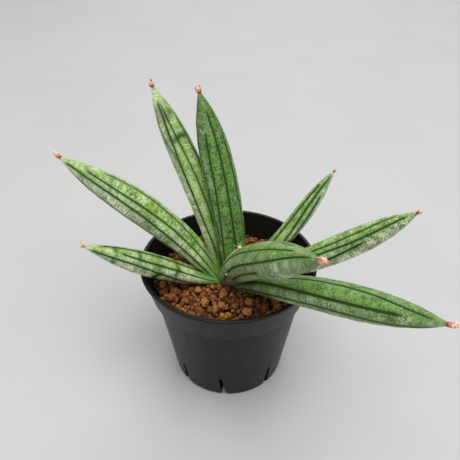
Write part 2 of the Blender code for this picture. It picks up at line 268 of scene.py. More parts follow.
# How each leaf differs in its colouring. mottle is the strength of its green blotches and specks, deep is how
# green its ground is, below 0 for a paler one, crease is the strength of its fine cross lines, and wrinkle is
# how deep the skin creases, in metres. A band is a darker cross stripe: its middle along the leaf, its
# half-width there and its strength.
Look = collections.namedtuple("Look", "mottle deep crease wrinkle bands")
LOOKS = {
    "tall_front": Look(
        mottle=0.90, deep=0.94, crease=0.10, wrinkle=0.00002,
        bands=((0.30, 0.02, 0.25), (0.66, 0.03, 0.25), (0.92, 0.13, 0.60)),
    ),
    "tall_left": Look(
        mottle=0.30, deep=-0.12, crease=0.35, wrinkle=0.00002,
        bands=((0.835, 0.026, 1.2), (0.725, 0.020, 1.2), (0.90, 0.012, 0.6), (0.55, 0.02, 0.3)),
    ),
    "short_right": Look(
        mottle=0.60, deep=-0.10, crease=0.30, wrinkle=0.00002,
        bands=((0.30, 0.02, 0.50), (0.55, 0.02, 0.50)),
    ),
    "upper_left": Look(
        mottle=0.50, deep=-0.10, crease=0.45, wrinkle=0.00003,
        bands=((0.84, 0.015, 0.75), (0.72, 0.012, 0.80), (0.50, 0.02, 0.60), (0.33, 0.02, 0.60)),
    ),
    "front": Look(
        mottle=0.50, deep=0.74, crease=0.85, wrinkle=0.00007,
        bands=((0.93, 0.09, 0.75), (0.70, 0.008, 0.55), (0.55, 0.010, 0.35), (0.38, 0.010, 0.30)),
    ),
    "upper_right": Look(
        mottle=0.65, deep=-0.10, crease=0.40, wrinkle=0.00002,
        bands=((0.84, 0.012, 0.75), (0.72, 0.014, 0.75), (0.60, 0.012, 0.70), (0.46, 0.012, 0.60)),
    ),
    "lower_left": Look(
        mottle=0.40, deep=-0.15, crease=0.30, wrinkle=0.00003,
        bands=((0.78, 0.022, 1.2), (0.62, 0.015, 1.0), (0.47, 0.025, 1.3), (0.33, 0.02, 1.3)),
    ),
    "lower_right": Look(
        mottle=0.60, deep=0.86, crease=0.35, wrinkle=0.00003,
        bands=((0.24, 0.008, 0.90), (0.12, 0.03, 0.40), (0.42, 0.02, 0.30), (0.93, 0.03, 0.40)),
    ),
}

# Noises of the leaf skin: how much the skin is pressed together across and along the leaf first, then the
# noise's scale, detail and roughness.
Pattern = collections.namedtuple("Pattern", "across along scale detail roughness")
WANDER = Pattern(1, 1, 0.9, 3, 0.55)
BLOOM = Pattern(0.5, 1.7, 1.3, 3, 0.5)
BLOTCHES = Pattern(0.7, 2.4, 2.0, 4, 0.65)
SPECKS = Pattern(1.2, 1.6, 6.0, 2, 0.5)
DASHES = Pattern(2.0, 9.0, 1.6, 4, 0.7)
BREAKS = Pattern(1, 1, 3.2, 4, 0.7)
CROWDS = Pattern(1, 1, 1.3, 3, 0.6)
THREADS = Pattern(16, 0.7, 1.0, 2, 0.55)
PORES = Pattern(1, 1.3, 34, 2, 0.55)
# How much a deeper wrinkle, in metres, darkens the dashes across the leaf.
DASHES_PER_WRINKLE = 4000

# Dry point of each leaf: length and radius of the horn, how many papery lumps it carries, and a thread
# as (forward, sideways, upward) places from the leaf's point.
Point = collections.namedtuple("Point", "length radius lumps thread")
POINTS = {
    "tall_front": Point(0.0038, 0.0014, 6, ((0, -0.0004, 0), (0.002, -0.001, 0.0004), (0.0036, -0.0008, 0))),
    "tall_left": Point(0.0036, 0.0012, 5, ((0, 0, 0), (0.003, 0.0004, 0.0004), (0.0052, 0.0003, 0.0016))),
    "short_right": Point(0.0026, 0.0007, 2, ((0, 0, 0), (0.0016, 0.0003, 0.0003), (0.0026, 0.0004, 0.0010))),
    "upper_left": Point(0.0036, 0.0012, 6, ((0, 0, 0), (0.0020, 0.0003, 0.0010), (0.0034, 0.0008, 0.0012))),
    "front": Point(0.0044, 0.0017, 8, ((0, 0, 0.0006), (0.0006, 0.0012, 0.0018), (-0.0006, 0.0018, 0.0026))),
    "upper_right": Point(0.0028, 0.0010, 4, ((0, 0, 0), (0.0010, 0.0002, 0.0018), (0.0012, 0.0003, 0.0038))),
    "lower_left": Point(0.0022, 0.0008, 2, ((0, 0, 0), (0.0014, 0, 0.0022), (0.0010, 0.0003, 0.0056))),
    "lower_right": Point(
        0.0040, 0.0012, 4, ((0.001, 0, 0), (0.0046, 0.0003, -0.0003), (0.0066, 0.0006, 0.0018))
    ),
}
THREAD_RADIUS = 0.00028

# A dry strip on the edge of the front leaf's sheath: places as shares along the leaf and degrees round it.
# Hairs stand on its far end, each given by how far its tip is from there, and a dry speck lies nearer the
# crown. The two crumbs at its far end and the speck are this far across.
STRIP_LEAF = "front"
STRIP_ALONG = (0.19, 0.23, 0.27, 0.31, 0.35)
STRIP_ANGLES = (34, 42, 52, 64, 78)
STRIP_RADIUS = 0.00038
HAIR_RADIUS = 0.00022
HAIRS = ((-0.0016, 0.0, 0.0034), (0.0002, 0.0004, 0.0040), (-0.0034, 0.0, 0.0016))
SPECK_ALONG = 0.23
SPECK_ANGLE = -15
CRUMB_SIZES = (0.0017, 0.0012)
CRUMB_STEP = Vector((-0.0008, 0, 0.0004))
SPECK_SIZE = 0.0011

# Stage. A light is its place, the length of its side and its power in watts.
LIGHTS = {
    "key": ((0.15, -0.45, 1.7), 1.5, 24.0),
    "back": ((0.2, 1.6, 1.2), 1.4, 10.0),
}
LIGHT_TARGET = Vector((0, 0, 0.08))
SKY_COLOUR = (0.93, 0.95, 1.0, 1)
SKY_STRENGTH = 0.42
SENSOR_WIDTH = 36
NEAREST_SEEN = 0.01


def tint(red, green, blue):
    """A colour given in steps of 255, as the linear values that a shader takes."""
    steps = (value / 255 for value in (red, green, blue))
    return tuple(v / 12.92 if v < 0.04045 else ((v + 0.055) / 1.055) ** 2.4 for v in steps)


def colour_property(name, description, default):
    """A colour that the sidebar shows."""
    return FloatVectorProperty(
        name=name, description=description, default=default, size=3, subtype="COLOR", min=0, max=1
    )


def length_property(name, description, default):
    """A length that the sidebar shows."""
    return FloatProperty(
        name=name, description=description, default=default, min=0, precision=5, unit="LENGTH"
    )


class PotSettings(bpy.types.PropertyGroup):
    sides: IntProperty(name="Sides", description="Faces round the pot", default=240, min=48, max=480)
    slit_width: length_property("Slit width", "Width of a drainage slit at the base", 0.0036)
    colour: colour_property("Plastic", "Colour of the pot", tint(20, 20, 19))
    gloss: FloatProperty(
        name="Roughness", description="Roughness of the plastic", default=0.42, min=0, max=1, subtype="FACTOR"
    )


class SoilSettings(bpy.types.PropertyGroup):
    grains: IntProperty(name="Grains", description="Small grains in the pot", default=2200, min=0, max=4000)
    least: length_property("Smallest grain", "Across the smallest grain", 0.0022)
    most: length_property("Largest grain", "Across the largest grain", 0.0052)
    bed_depth: length_property("Grit depth", "Depth of the loose layer over the bed", 0.0085)
    seed: IntProperty(name="Seed", description="Seed of the scatter", default=11)
    rust: colour_property("Rust", "Main colour of the lava grains", tint(168, 106, 60))
    gold: colour_property("Gold", "Colour of the weathered yellow-brown grains", tint(188, 130, 70))
    umber: colour_property("Umber", "Colour of the darker grains", tint(96, 64, 42))
    ochre: colour_property("Ochre", "Colour of the few yellow grains", tint(205, 150, 50))


class LeafSettings(bpy.types.PropertyGroup):
    around: IntProperty(name="Faces round", description="Faces round a leaf", default=168, min=24, max=320)
    along: IntProperty(name="Faces along", description="Faces along a leaf", default=190, min=24, max=400)
    groove_depth: length_property("Groove depth", "Depth of the dark grooves", 0.00032)
    groove_width: length_property("Groove width", "Half-width of the dark grooves", 0.00052)
    over: colour_property("Upper face", "Ground of the upper face", tint(164, 203, 98))
    # The lower face's pale ground is partly the leaf's paler underside and partly a painted reflection of the
    # pale floor.
    under: colour_property("Lower face", "Ground of the lower face", tint(198, 209, 170))
    pale: colour_property("Bloom", "Silvery patches of the ground", tint(242, 251, 210))
    green: colour_property("Green", "Soft green patches of the ground", tint(88, 134, 54))
    mottle: colour_property("Mottling", "Colour of specks and cross bands", tint(40, 74, 14))
    groove: colour_property("Grooves", "Colour of the grooves", tint(26, 66, 8))
    fresh: colour_property("Foot", "Colour of the leaf bases", tint(104, 150, 62))


class PointSettings(bpy.types.PropertyGroup):
    seed: IntProperty(name="Seed", description="Seed of the papery lumps", default=4)
    horn: colour_property("Horn", "Colour where the leaf turns dry", tint(150, 68, 36))
    paper: colour_property("Paper", "Colour of the papery ends", tint(255, 232, 212))


class StageSettings(bpy.types.PropertyGroup):
    floor: colour_property("Floor", "Colour of the floor", tint(207, 206, 204))
    floor_size: length_property("Floor size", "Length of the floor's side", 6.0)
    focal_length: FloatProperty(name="Focal length", description="Lens, in mm", default=40.7, min=1)
    camera_height: length_property("Camera height", "Height of the camera", 0.2788)
    camera_distance: length_property("Camera distance", "Camera's distance in front", 0.24158)
    target_height: length_property("Target height", "Height that the camera looks at", 0.1038)
    target_side: length_property("Target side", "Sideways place of the camera and its target", 0.00089)


# Small helpers for meshes.


def finish_piece(name, mesh, material, slot, *nodes, angle=40):
    """Puts a finished mesh in the scene as a piece that stands for some nodes."""
    mesh.shade_smooth()
    mesh.set_sharp_from_angle(angle=math.radians(angle))
    mesh.materials.append(material)
    piece = bpy.data.objects.new(name, mesh)
    bpy.context.scene.collection.objects.link(piece)
    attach(piece, BODY)
    if nodes:
        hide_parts(*nodes)
    return piece


def mesh_of(name, bm):
    """A mesh made from a bmesh, which is freed."""
    mesh = bpy.data.meshes.new(name)
    bm.to_mesh(mesh)
    bm.free()
    return mesh


def turn(profile, sides):
    """Spins an open (radius, height) profile round the Z axis into a closed body."""
    bm = bmesh.new()
    points = [bm.verts.new((radius, 0, height)) for radius, height in profile]
    for low, high in zip(points, points[1:]):
        bm.edges.new((low, high))
    bmesh.ops.spin(
        bm,
        geom=bm.verts[:] + bm.edges[:],
        cent=(0, 0, 0),
        axis=(0, 0, 1),
        angle=2 * math.pi,
        steps=sides,
        use_merge=True,
    )
    bmesh.ops.remove_doubles(bm, verts=bm.verts, dist=WELD)
    bmesh.ops.recalc_face_normals(bm, faces=bm.faces)
    return bm


def rounded(profile, radius, steps=4):
    """A profile with an arc of about a given radius in place of each inner corner."""
    smooth = [Vector(profile[0])]
    for before, middle, after in zip(profile, profile[1:], profile[2:]):
        corner = Vector(middle)
        back = Vector(before) - corner
        on = Vector(after) - corner
        reach = min(radius, back.length * 0.45, on.length * 0.45)
        start = corner + back.normalized() * reach
        end = corner + on.normalized() * reach
        for step in range(steps + 1):
            share = step / steps
            smooth.append(start.lerp(corner, share).lerp(corner.lerp(end, share), share))
    smooth.append(Vector(profile[-1]))
    return smooth


def tree_of(nodes):
    """A search tree of several design solids."""
    bm = bmesh.new()
    for name in nodes:
        bm.from_mesh(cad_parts[name].data)
    tree = BVHTree.FromBMesh(bm)
    bm.free()
    return tree


# Small helpers for materials.


def new_material(name):
    """A material with its node tree and its shader."""
    material = bpy.data.materials.new(name)
    material.use_nodes = True
    tree = material.node_tree
    return material, tree, tree.nodes["Principled BSDF"]


def add(tree, kind, inputs, **settings):
    """A node, with each input a value or another node's output."""
    node = tree.nodes.new(kind)
    for name, value in settings.items():
        setattr(node, name, value)
    for key, value in inputs.items():
        if isinstance(value, bpy.types.NodeSocket):
            tree.links.new(value, node.inputs[key])
        else:
            node.inputs[key].default_value = value
    return node


def object_place(tree):
    """Places on the piece in metres."""
    return tree.nodes.new("ShaderNodeTexCoord").outputs["Object"]


def attribute(tree, name, output="Fac"):
    """What the piece's points carry under a name."""
    return add(tree, "ShaderNodeAttribute", {}, attribute_name=name).outputs[output]


def stretched(tree, vector, scale):
    """Places scaled along each axis."""
    return add(tree, "ShaderNodeMapping", {"Vector": vector, "Scale": scale}).outputs["Vector"]


def clouds(tree, vector, scale, detail=3.0, roughness=0.55, distortion=0.0):
    """Soft noise from 0 to 1."""
    inputs = {"Vector": vector, "Scale": scale, "Detail": detail, "Roughness": roughness}
    inputs["Distortion"] = distortion
    return add(tree, "ShaderNodeTexNoise", inputs).outputs["Fac"]


def skin_noise(tree, skin, pattern):
    """One of the leaf skin's noises."""
    pressed = stretched(tree, skin, (pattern.across, pattern.across, pattern.along))
    return clouds(tree, pressed, pattern.scale, pattern.detail, pattern.roughness)


def span(tree, value, low, high, to_low=0.0, to_high=1.0):
    """A value's smooth run from low to high, as a run from to_low to to_high."""
    inputs = {"Value": value, "From Min": low, "From Max": high, "To Min": to_low, "To Max": to_high}
    return add(tree, "ShaderNodeMapRange", inputs, interpolation_type="SMOOTHSTEP").outputs["Result"]


def combine(tree, operation, first, second):
    """Two values taken together by an operation."""
    return add(tree, "ShaderNodeMath", {0: first, 1: second}, operation=operation).outputs[0]


def product(tree, first, second):
    """Two values multiplied."""
    return combine(tree, "MULTIPLY", first, second)


def highest(tree, first, *others):
    """The highest of several values."""
    for other in others:
        first = combine(tree, "MAXIMUM", first, other)
    return first


def sway(tree, value, width):
    """A value from 0 to 1, moved to lie about 0 and given a new width."""
    return product(tree, combine(tree, "SUBTRACT", value, 0.5), width)


def grey_of(tree, tone):
    """A tone as a grey colour."""
    return add(tree, "ShaderNodeCombineColor", {0: tone, 1: tone, 2: tone}).outputs[0]


def scaled(colour, factor):
    """A colour made darker or lighter."""
    return tuple(value * factor for value in colour)


def blend(tree, share, first, second, kind="MIX"):
    """Two colours mixed by a share."""
    first, second = (
        (*value, 1) if isinstance(value, (tuple, bpy.types.bpy_prop_array)) and len(value) == 3 else value
        for value in (first, second)
    )
    node = add(tree, "ShaderNodeMix", {0: share, 6: first, 7: second}, data_type="RGBA", blend_type=kind)
    return node.outputs[2]


def relief(tree, height, strength, distance, under=None):
    """A bump, over another one if that is given."""
    inputs = {"Height": height, "Strength": strength, "Distance": distance}
    if under is not None:
        inputs["Normal"] = under
    return add(tree, "ShaderNodeBump", inputs).outputs["Normal"]


def plastic_material(settings):
    """Satin black moulded plastic with a fine grain, dust and faint scuffs."""
    material, tree, shader = new_material("satin black plastic")
    place = object_place(tree)
    dust = clouds(tree, place, 55, 5, 0.65, 0.3)
    scuffs = clouds(tree, stretched(tree, place, (1, 1, 0.12)), 420, 4, 0.6)
    grain = clouds(tree, place, 2600, 2)
    height = add(tree, "ShaderNodeSeparateXYZ", {"Vector": place}).outputs["Z"]
    low_dust = span(tree, height, 0.030, 0.0, 0.0, 0.5)
    dusty = product(tree, span(tree, dust, 0.42, 0.75), combine(tree, "ADD", low_dust, 0.15))
    ground = tuple(settings.colour)
    colour = blend(tree, dusty, ground, tuple(value * 1.8 + 0.008 for value in ground))
    tree.links.new(colour, shader.inputs["Base Color"])
    rough = span(tree, scuffs, 0.3, 0.75, settings.gloss - 0.03, settings.gloss + 0.05)
    tree.links.new(rough, shader.inputs["Roughness"])
    fine = relief(tree, grain, 0.10, 0.0002)
    tree.links.new(relief(tree, dust, 0.05, 0.001, fine), shader.inputs["Normal"])
    shader.inputs["Specular IOR Level"].default_value = 0.27
    return material


def lava_material(name, settings, painted_shade):
    """Porous pitted lava in rust, gold and umber, with a little ochre, and painted shade in its pits. The
    last argument blends in near-black painted shade.
    """
    material, tree, shader = new_material(name)
    place = object_place(tree)
    tone = attribute(tree, "tone")
    patches = clouds(tree, place, 520, 4, 0.6)
    pits = clouds(tree, place, 2100, 3, 0.6)
    lit = tuple(settings.rust)
    burnt = tuple(value * share for value, share in zip(lit, (0.58, 0.52, 0.46)))
    umber = tuple(settings.umber)
    rust = blend(tree, span(tree, patches, 0.35, 0.7), lit, burnt)
    rust = blend(tree, span(tree, tone, 0.30, 0.10), rust, tuple(settings.gold))
    colour = blend(tree, span(tree, tone, 0.50, 0.86), rust, umber)
    colour = blend(tree, span(tree, tone, 0.985, 0.995), colour, tuple(settings.ochre))
    # The pits are painted darker than the rest of the grain: painted shade in the pores that the bump sinks.
    shade = span(tree, pits, 0.28, 0.52, 0.55, 1.0)
    colour = blend(tree, 1.0, colour, grey_of(tree, shade), "MULTIPLY")
    # Near-black painted shade, as strong as the last argument: the bed's shade behind the slits and between
    # the grains.
    colour = blend(tree, painted_shade, colour, scaled(umber, 0.05))
    tree.links.new(colour, shader.inputs["Base Color"])
    tree.links.new(span(tree, patches, 0.3, 0.7, 0.82, 0.97), shader.inputs["Roughness"])
    rough = relief(tree, pits, 0.55, 0.0006)
    tree.links.new(relief(tree, patches, 0.5, 0.0012, rough), shader.inputs["Normal"])
    shader.inputs["Specular IOR Level"].default_value = 0.25
    return material


def leaf_ground(tree, skin, silver, look, settings):
    """Ground of a leaf: green on the upper face, paler below, with blocks of bloom across the leaf. The paler
    lower face is partly the leaf's own paler underside and partly a painted reflection of the pale floor.
    """
    face = add(tree, "ShaderNodeSeparateXYZ", {"Vector": skin}).outputs["Y"]
    wander = skin_noise(tree, skin, WANDER)
    face = combine(tree, "ADD", face, sway(tree, wander, 0.6))
    upper = span(tree, face, 0.05, 0.80)
    # The lower face's pale ground and its stronger bloom are partly the leaf's paler underside and partly a
    # painted reflection of the pale floor.
    ground = blend(tree, upper, tuple(settings.under), tuple(settings.over))
    ground = blend(tree, max(look.deep, 0) * 0.75, ground, tuple(settings.green))
    bloom = span(tree, silver, 0.36, 0.60, 0.0, 0.88 - 0.60 * look.deep)
    on_upper = 0.32 - 1.0 * min(look.deep, 0)
    bloom = product(tree, bloom, span(tree, upper, 0.0, 1.0, 1.0, on_upper))
    return blend(tree, bloom, ground, tuple(settings.pale))


def leaf_marks(tree, skin, breaks, look):
    """How dark a place on a leaf is: specks, dashes and fine lines across the leaf, and its cross bands."""
    specks = skin_noise(tree, skin, SPECKS)
    crowds = skin_noise(tree, skin, CROWDS)
    dashes = skin_noise(tree, skin, DASHES)
    speck_from = 0.60 - 0.08 * look.mottle
    speck_most = 0.55 + 0.43 * look.mottle
    speck = combine(tree, "ADD", specks, sway(tree, crowds, 0.6))
    speck = span(tree, speck, speck_from, speck_from + 0.03, 0.0, speck_most)
    dash = span(tree, dashes, 0.55, 0.66, 0.0, 0.42 + DASHES_PER_WRINKLE * look.wrinkle)
    wave = add(
        tree,
        "ShaderNodeTexWave",
        {"Vector": skin, "Scale": 1.45, "Distortion": 1.8, "Detail": 2.0, "Detail Scale": 0.6},
        wave_type="BANDS",
        bands_direction="Z",
    ).outputs["Fac"]
    crease = product(tree, span(tree, wave, 0.80, 0.98), span(tree, crowds, 0.38, 0.58, 0.25, 1.0))
    crease = product(tree, crease, look.crease)
    band = product(tree, attribute(tree, "band"), span(tree, breaks, 0.30, 0.48, 0.35, 1.0))
    return highest(tree, speck, dash, band, crease)


def leaf_material(leaf, settings):
    """Waxy leaf skin: pale ground, darker mottling and cross bands, and near-black grooves."""
    look = LOOKS[leaf.name]
    material, tree, shader = new_material("leaf skin " + leaf.name.replace("_", " "))
    groove = attribute(tree, "groove")
    along = attribute(tree, "along")
    shift = (0, 0, 7.0 * LEAVES.index(leaf))
    skin = attribute(tree, "skin", "Vector")
    skin = add(tree, "ShaderNodeMapping", {"Vector": skin, "Location": shift}).outputs["Vector"]
    silver = skin_noise(tree, skin, BLOOM)
    breaks = skin_noise(tree, skin, BREAKS)
    ground = leaf_ground(tree, skin, silver, look, settings)
    halo = product(tree, attribute(tree, "beside"), span(tree, breaks, 0.34, 0.58, 0.45, 1.0))
    patch = span(tree, skin_noise(tree, skin, BLOTCHES), 0.50, 0.60)
    patch = product(tree, patch, 0.30 + 0.70 * look.mottle)
    ground = blend(tree, highest(tree, patch, halo), ground, tuple(settings.green))
    dark = leaf_marks(tree, skin, breaks, look)
    colour = blend(tree, product(tree, dark, 0.85), ground, tuple(settings.mottle))
    tone = span(tree, skin_noise(tree, skin, THREADS), 0.3, 0.7, 0.90, 1.08)
    colour = blend(tree, 1.0, colour, grey_of(tree, tone), "MULTIPLY")
    fresh = product(tree, span(tree, along, 0.20, 0.03), 0.75)
    colour = blend(tree, fresh, colour, tuple(settings.fresh))
    colour = blend(tree, span(tree, groove, 0.10, 0.60), colour, tuple(settings.groove))
    horn = bpy.context.scene.plant_points.horn
    colour = blend(tree, span(tree, along, 0.972, 0.990), colour, tuple(horn))
    tree.links.new(colour, shader.inputs["Base Color"])
    rough = span(tree, silver, 0.3, 0.7, 0.34, 0.46)
    rough = combine(tree, "ADD", rough, product(tree, groove, 0.15))
    tree.links.new(rough, shader.inputs["Roughness"])
    fine = relief(tree, skin_noise(tree, skin, PORES), 0.10, 0.0003)
    tree.links.new(relief(tree, silver, 0.10, 0.0008, fine), shader.inputs["Normal"])
    shader.inputs["Specular IOR Level"].default_value = 0.38
    return material


def dry_material(settings):
    """Dead leaf point: red-brown horn that turns to pale paper at its end."""
    material, tree, shader = new_material("dry leaf point")
    place = object_place(tree)
    dry = attribute(tree, "dry")
    flecks = clouds(tree, place, 1500, 3, 0.6)
    share = combine(tree, "ADD", dry, sway(tree, flecks, 1.3))
    middle = tuple((one + other) / 2 for one, other in zip(settings.horn, settings.paper))
    middle = tuple(value * part for value, part in zip(middle, (1.15, 0.75, 0.55)))
    colour = blend(tree, span(tree, share, 0.0, 0.35), tuple(settings.horn), middle)
    colour = blend(tree, span(tree, share, 0.42, 0.78), colour, tuple(settings.paper))
    tree.links.new(colour, shader.inputs["Base Color"])
    tree.links.new(span(tree, flecks, 0.3, 0.7, 0.5, 0.75), shader.inputs["Roughness"])
    tree.links.new(relief(tree, flecks, 0.4, 0.0004), shader.inputs["Normal"])
    return material


def stem_material():
    """Fibrous pale green skin of the short stem."""
    material, tree, shader = new_material("stem skin")
    place = object_place(tree)
    fibres = clouds(tree, stretched(tree, place, (1, 1, 0.2)), 900, 4)
    colour = blend(tree, span(tree, fibres, 0.35, 0.65), tint(120, 140, 78), tint(86, 108, 52))
    tree.links.new(colour, shader.inputs["Base Color"])
    tree.links.new(span(tree, fibres, 0.3, 0.7, 0.5, 0.7), shader.inputs["Roughness"])
    tree.links.new(relief(tree, fibres, 0.3, 0.0006), shader.inputs["Normal"])
    return material


def floor_material(settings):
    """Matt pale backdrop paper."""
    material, tree, shader = new_material("backdrop paper")
    place = object_place(tree)
    stains = clouds(tree, place, 7, 3, 0.5)
    ground = tuple(settings.floor)
    colour = blend(tree, span(tree, stains, 0.35, 0.7), ground, scaled(ground, 0.97))
    tree.links.new(colour, shader.inputs["Base Color"])
    shader.inputs["Roughness"].default_value = 0.75
    shader.inputs["Specular IOR Level"].default_value = 0.2
    return material


# Shapes of the pieces.


def pot_profile():
    """The pot's section, from the middle of the base up, over the lip and down to the floor."""
    under_lip = POT_HEIGHT - LIP_DEPTH
    ring = BASE_RADIUS - BASE_RING
    outside = (
        (0, BASE_HOLLOW),
        (ring - BASE_HOLLOW, BASE_HOLLOW),
        (ring, 0),
        (BASE_RADIUS - BASE_ROUND, 0),
        (BASE_RADIUS, BASE_ROUND),
        (BODY_TOP_RADIUS, BAND_FOOT_Z - WALL),
        (BODY_TOP_RADIUS + WALL / 2, BAND_FOOT_Z),
        (BAND_FOOT_RADIUS - WALL / 4, BAND_FOOT_Z),
        (BAND_FOOT_RADIUS, BAND_FOOT_Z + WALL / 4),
        (BAND_TOP_RADIUS, under_lip - LIP_DEPTH / 3),
        (LIP_RADIUS, under_lip),
        (LIP_RADIUS, POT_HEIGHT),
        (LIP_RADIUS - LIP_WIDTH, POT_HEIGHT),
    )
    return rounded((*outside, *INNER_WALL, (0, FLOOR)), EDGE_ROUND)


def slit_wedges(width):
    """One tapered wedge for each drainage slit, wide at the base and narrow at the top."""
    bm = bmesh.new()
    reach = SLIT_REACH + 4 * WALL
    for number in range(SLIT_COUNT):
        wedge = bmesh.ops.create_cube(bm, size=1)["verts"]
        for point in wedge:
            # One side leans to the other, up to a narrow top.
            at_top = point.co.z > 0
            across = 0.5 - SLIT_TOP_SHARE if at_top and point.co.y < 0 else point.co.y
            lean = SLIT_LEAN if at_top and number % 2 == 0 else 0
            point.co.y = width * across - lean
            point.co.z += 0.5
        size = Matrix.Diagonal((reach, 1, SLIT_HEIGHT + GAP, 1))
        out = Matrix.Translation((BASE_RADIUS - SLIT_REACH + reach / 2, 0, -GAP))
        about = Matrix.Rotation(SLIT_TURN + 2 * math.pi * number / SLIT_COUNT, 4, "Z")
        bmesh.ops.transform(bm, verts=wedge, matrix=about @ out @ size)
    return bm


def with_cut(mesh, cutter_bm):
    """A mesh with a cutter's shape taken out of it."""
    cutter = bpy.data.objects.new("cutter", mesh_of("cutter", cutter_bm))
    body = bpy.data.objects.new("body", mesh)
    for helper in (cutter, body):
        bpy.context.scene.collection.objects.link(helper)
    boolean = body.modifiers.new("cut", "BOOLEAN")
    boolean.operation = "DIFFERENCE"
    boolean.solver = "EXACT"
    boolean.object = cutter
    graph = bpy.context.evaluated_depsgraph_get()
    finished = bpy.data.meshes.new_from_object(body.evaluated_get(graph))
    for helper in (cutter, body):
        bpy.data.objects.remove(helper)
    return finished


def inner_radius(height):
    """Inner radius of the pot at a height."""
    radii, heights = zip(*reversed(INNER_WALL))
    return float(np.interp(height, heights, radii))


def soil_height(x, y):
    """Height of the finished soil at a place. It is heaped a little round the foot of the plant."""
    near_wall = max(0.0, 1 - (inner_radius(SOIL_LEVEL) - math.hypot(x, y)) / SOIL_FALL_WIDTH)
    off_heap = math.hypot(x - HEAP_CENTRE[0], y - HEAP_CENTRE[1]) / HEAP_SPREAD
    return SOIL_LEVEL - SOIL_FALL * near_wall**2 + HEAP_RISE * math.exp(-(off_heap**2))


def bed_mesh(settings):
    """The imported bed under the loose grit."""
    top = SOIL_LEVEL - settings.bed_depth
    edge = inner_radius(top) - GAP
    profile = [(edge * ring / BED_RINGS, top) for ring in range(BED_RINGS + 1)]
    profile.append((inner_radius(FLOOR) - BED_SETBACK, FLOOR + GAP))
    profile.append((0, FLOOR + GAP))
    bm = turn(profile, BED_SIDES)
    tone = bm.verts.layers.float.new("tone")
    for point in bm.verts:
        point[tone] = BED_TONE
        if point.co.z > top - GAP / 2:
            point.co.z -= abs(noise.noise(point.co * 400)) * BED_ROUGHNESS
    return mesh_of("soil_bed_core", bm)


def random_shift(draw):
    """A random place in a noise."""
    return Vector((draw.uniform(-9, 9), draw.uniform(-9, 9), draw.uniform(-9, 9)))


def grain_shapes(draw, count):
    """Rough grains about 1 across: lumpy balls with a few corners taken away, so that they get flat sides."""
    shapes = []
    for _ in range(count):
        bm = bmesh.new()
        bmesh.ops.create_icosphere(bm, subdivisions=2, radius=0.5)
        stretch = Vector((draw.uniform(0.85, 1.1), draw.uniform(0.75, 1.0), draw.uniform(0.65, 0.9)))
        shift = random_shift(draw)
        for point in bm.verts:
            point.co *= 1 + 0.40 * noise.noise(point.co * 2.2 + shift) + draw.uniform(-0.05, 0.05)
            point.co *= stretch
        spare = draw.sample(bm.verts[:], 12)
        bmesh.ops.dissolve_verts(bm, verts=spare)
        bmesh.ops.triangulate(bm, faces=bm.faces[:])
        shapes.append(mesh_of("grain shape", bm))
    return shapes


class Heap:
    """Heights of the growing heap, on a square grid of cells."""

    def __init__(self, cell, reach, floor):
        self.cell = cell
        self.reach = reach
        self.heights = np.full((int(2 * reach / cell) + 1,) * 2, floor)

    def patch(self, x, y, radius):
        """The cells under a round grain, and how high its skin stands over its middle at each."""
        low_x = int((x - radius + self.reach) / self.cell)
        low_y = int((y - radius + self.reach) / self.cell)
        wide = int(2 * radius / self.cell) + 2
        rows = slice(max(low_x, 0), low_x + wide)
        columns = slice(max(low_y, 0), low_y + wide)
        across = np.arange(rows.start, min(rows.stop, len(self.heights))) * self.cell - self.reach - x
        down = np.arange(columns.start, min(columns.stop, len(self.heights))) * self.cell - self.reach - y
        apart = across[:, None] ** 2 + down[None, :] ** 2
        rise = np.sqrt(np.maximum(radius**2 - apart, 0)) * 0.8
        return (rows, columns), rise, apart < radius**2

    def rest(self, x, y, radius):
        """Height of the middle of a grain that comes down here."""
        where, rise, inside = self.patch(x, y, radius)
        return float((self.heights[where] + rise)[inside].max())

    def settle(self, x, y, radius, height):
        """Adds a grain whose middle is at this place."""
        where, rise, inside = self.patch(x, y, radius)
        above = np.where(inside, height + rise, -1)
        self.heights[where] = np.maximum(self.heights[where], above)


def lowest_place(heap, draw, radius, lump):
    """The lowest of a few random places for a grain, as (height over the finished soil, x, y, height)."""
    edge = inner_radius(SOIL_LEVEL - SOIL_FALL) - radius * 1.02
    best = None
    for _ in range(DROP_TRIES):
        far = edge * math.sqrt(draw.random())
        angle = draw.uniform(*LUMP_SECTOR) if lump else draw.uniform(0, math.tau)
        x = far * math.cos(angle)
        y = far * math.sin(angle)
        height = heap.rest(x, y, radius * TOUCH_SHARE)
        over_soil = height - soil_height(x, y)
        if far + radius > inner_radius(height - radius / 2) - GAP:
            continue
        if best is None or over_soil < best[0]:
            best = (over_soil, x, y, height)
    return best


